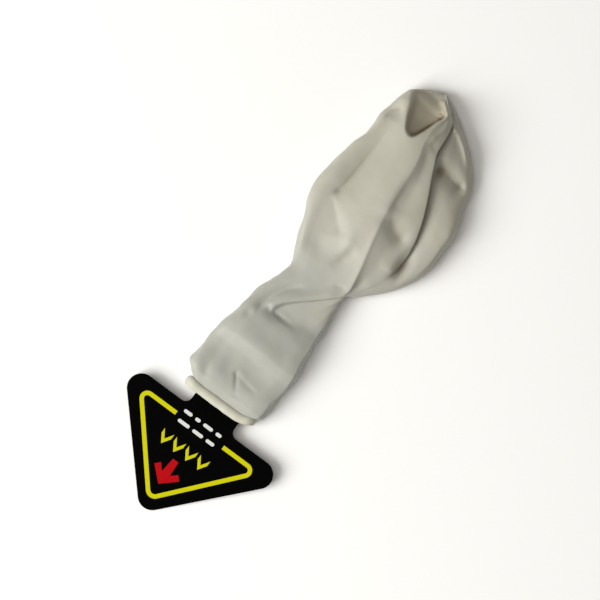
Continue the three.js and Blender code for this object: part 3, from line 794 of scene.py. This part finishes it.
# For each row its x, then the two ends in y of each dash.
DASH_ROWS = [
    (-8.35, [(7.6, 4.6), (3.4, 1.6), (0.4, -3.0), (-4.2, -6.2)]),
    (-11.75, [(7.4, 3.2), (2.0, -1.8), (-3.0, -6.0)]),
]
ARROW = [
    (-31.0, 0.7), (-26.7, 5.3), (-25.2, 3.9), (-27.2, 2.1), (-22.2, 1.6), (-22.2, -0.4), (-27.0, -0.7),
    (-25.3, -2.6), (-26.7, -4.0),
]


def on_card(x, y, above):
    """Points over the card's upper face: it slopes evenly from its tip on the table up to the crease."""
    climb = np.clip((x - CARD_TIP_X) / (CARD_CREASE_X - CARD_TIP_X), 0, 1)
    return np.stack([x, y, CARD_THICK + climb * (CARD_TOP - CARD_THICK) + above], -1)


def print_shape(name, outline, ink):
    """Ink inside a closed outline, given either way round: two flat faces and the thin wall between them."""
    x, y = np.array(outline, float).T
    if ((np.roll(x, -1) - x) * (np.roll(y, -1) + y)).sum() > 0:
        x, y = x[::-1], y[::-1]
    count = len(x)
    vertices = np.concatenate([on_card(x, y, INK_LOW), on_card(x, y, INK_HIGH)])
    side = np.arange(count)
    after = (side + 1) % count
    walls = np.stack([side, after, count + after, count + side], 1).tolist()
    faces = walls + [side[::-1].tolist(), (count + side).tolist()]
    piece = mesh_piece(name, vertices, faces, ink, smooth=False)
    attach(piece, "pull_tab")


def ribbon(path, width):
    """The outline of a band of even width along a path, with square ends."""
    path = np.array(path, float)
    way = np.gradient(path, axis=0)
    way /= np.linalg.norm(way, axis=1, keepdims=True)
    aside = np.stack([-way[:, 1], way[:, 0]], 1) * width / 2
    return np.concatenate([path + aside, (path - aside)[::-1]])


def arc(centre, radius, start, end, count=9):
    """Points on an arc, its angles in degrees."""
    angle = np.radians(np.linspace(start, end, count))
    return np.stack([centre[0] + radius * np.cos(angle), centre[1] + radius * np.sin(angle)], 1)


def print_card():
    """The yellow border with a gap in its long side, yellow chevrons, white dashes and the red arrow."""
    border = np.concatenate(
        [
            [(-10.5, 9.0), (-10.5, 13.0)],
            arc((-12.2, 18.6), 1.7, 0, 90 + SLANT),
            arc((-33.0, 0.45), 2.1, 90 + SLANT, 270 - SLANT),
            arc((-12.2, -17.7), 1.7, 270 - SLANT, 360),
            [(-10.5, -12.5), (-10.5, -8.4)],
        ]
    )
    print_shape("yellow_border", ribbon(border, BORDER_WIDTH), inks["yellow"])
    point, tail, half, thick = CHEVRON_POINT_X, CHEVRON_TAIL_X, CHEVRON_HALF, CHEVRON_THICK
    for count, y in enumerate(CHEVRON_Y):
        chevron = [
            (point, y), (tail - thick, y + half), (tail, y + half), (point + thick, y), (tail, y - half),
            (tail - thick, y - half),
        ]
        print_shape(f"yellow_chevron_{count + 1}", chevron, inks["yellow"])
    r = DASH_RADIUS
    for row, (x, dashes) in enumerate(DASH_ROWS):
        for count, (y_top, y_low) in enumerate(dashes):
            dash = np.concatenate([arc((x, y_top - r), r, 0, 180), arc((x, y_low + r), r, 180, 360)])
            print_shape(f"white_dash_{row + 1}_{count + 1}", dash, inks["white"])
    print_shape("red_arrow", ARROW, inks["red"])


print_card()


# ---------- finishes of the card, the light unit and the strip ----------

white_plastic = speckled("moulded_polystyrene", ("#efeee9", "#e9e8e2"), (0.34, 0.44), 1.2, 0.01, IOR=1.59)
nickel = speckled("nickel_plated_steel", ("#c6c8ca", "#bcbec0"), (0.22, 0.34), 0.5, 0.006, Metallic=1.0)
bronze = speckled("rolled_phosphor_bronze", ("#c08f4c", "#b18043"), (0.28, 0.4), 0.5, 0.006, Metallic=1.0)
gasket = speckled("moulded_polypropylene", ("#2d3136", "#35393f"), (0.5, 0.6), 0.8, 0.008, IOR=1.49)
lithium = speckled("punched_lithium", ("#a8a8ac", "#97979c"), (0.45, 0.6), 0.6, 0.01, Metallic=1.0)
separator = speckled("separator_paper", ("#f4f2ea", "#eae7dc"), (0.85, 0.95), 0.3, 0.01, IOR=1.45)
pellet = speckled("pressed_manganese_dioxide", ("#1b1b1d", "#262628"), (0.9, 1.0), 0.25, 0.015, IOR=1.5)
foam = speckled("polyethylene_foam", ("#ebe9e2", "#dedbd2"), (0.85, 0.95), 0.35, 0.05, IOR=1.5)
phosphor = speckled("phosphor_gel", ("#e8d24c", "#dfc640"), (0.5, 0.6), 0.1, 0.004, IOR=1.5)
paper_tape = speckled("crepe_paper_tape", ("#e9e2c8", "#ded5b6"), (0.6, 0.7), 0.5, 0.02, IOR=1.5)
epoxy = speckled(
    "cast_clear_epoxy", ("#f2f5f6", "#eceff1"), (0.05, 0.08), 1.5, 0.002, IOR=1.55, Transmission_Weight=0.9
)
film = speckled(
    "polyester_film", ("#e6ecef", "#dfe6ea"), (0.1, 0.16), 2.0, 0.002, IOR=1.64, Transmission_Weight=0.7
)

FINISHES = {
    "tab_card": black_card,
    "foam_pad": foam,
    "light_unit_base": white_plastic,
    "light_unit_cover": white_plastic,
    "coin_cell_can": nickel,
    "coin_cell_gasket": gasket,
    "coin_cell_cap": nickel,
    "coin_cell_lithium_disc": lithium,
    "coin_cell_separator": separator,
    "coin_cell_cathode_pellet": pellet,
    "top_contact_plate": bronze,
    "leaf_anchor_tab": bronze,
    "contact_leaf": bronze,
    "lamp_lens": epoxy,
    "lamp_anode_lead": nickel,
    "lamp_cathode_lead": nickel,
    "lamp_chip": phosphor,
    "pull_strip": film,
    "strip_tape": paper_tape,
}
for name, finish in FINISHES.items():
    nodes[name].data.materials.clear()
    nodes[name].data.materials.append(finish)


# ---------- table, camera and light ----------


TABLE_HALF = 1.5  # metres, as are the other sizes of the studio
TABLE_Z = -0.0002
CAMERA_DISTANCE = 0.95
VIEW_WIDTH = 0.18
SENSOR_MM = 36
# Where the camera looks, in mm from the mouth, and what runs to the right and up in its picture.
CAMERA_TARGET = (38.9, -0.7, 5)
CAMERA_RIGHT = (0.595, -0.804, 0)
CAMERA_UP = (0.804, 0.595, 0)
# Name, place, size, power in watts and colour. Both lights face the origin.
LIGHTS = [
    ("window_light", (-0.77, 0.62, 0.78), 0.9, 19.8, "#fffefb"),
    ("ceiling_light", (-0.1, 0.15, 1.2), 0.8, 3.5, "#fffbf4"),
]
ROOM_COLOUR, ROOM_STRENGTH = "#fffbf5", 0.18


def studio():
    """A pale table, a camera straight above with the balloon running to the upper right, and soft light."""
    scene = bpy.context.scene
    floor_material, _ = new_material("pale_table", Base_Color=linear("#fbfbfb"), Roughness=0.7)
    half = TABLE_HALF
    corners = [(-half, -half, 0), (half, -half, 0), (half, half, 0), (-half, half, 0)]
    mesh = bpy.data.meshes.new("table")
    mesh.from_pydata(corners, [], [(0, 1, 2, 3)])
    mesh.materials.append(floor_material)
    table = bpy.data.objects.new("table", mesh)
    scene.collection.objects.link(table)
    table.location.z = TABLE_Z

    right, up = Vector(CAMERA_RIGHT).normalized(), Vector(CAMERA_UP).normalized()
    back = right.cross(up)
    turn = Matrix((right, up, back)).transposed().to_4x4()
    target = Vector((MOUTH.x + CAMERA_TARGET[0] * MM, MOUTH.y + CAMERA_TARGET[1] * MM, CAMERA_TARGET[2] * MM))
    camera_data = bpy.data.cameras.new("camera")
    camera_data.sensor_width = SENSOR_MM
    camera_data.lens = SENSOR_MM * CAMERA_DISTANCE / VIEW_WIDTH
    camera = bpy.data.objects.new("camera", camera_data)
    camera.matrix_world = Matrix.Translation(target + back * CAMERA_DISTANCE) @ turn
    scene.collection.objects.link(camera)
    scene.camera = camera

    for name, location, size, power, colour in LIGHTS:
        light = bpy.data.lights.new(name, "AREA")
        light.color = linear(colour)[:3]
        light.size = size
        light.energy = power
        lamp = bpy.data.objects.new(name, light)
        lamp.location = location
        lamp.rotation_euler = (-Vector(location)).to_track_quat("-Z", "Y").to_euler()
        scene.collection.objects.link(lamp)

    world = bpy.data.worlds.new("studio")
    world.use_nodes = True
    background = world.node_tree.nodes["Background"]
    background.inputs["Color"].default_value = linear(ROOM_COLOUR)
    background.inputs["Strength"].default_value = ROOM_STRENGTH
    scene.world = world
    scene.view_settings.view_transform = "Standard"


studio()
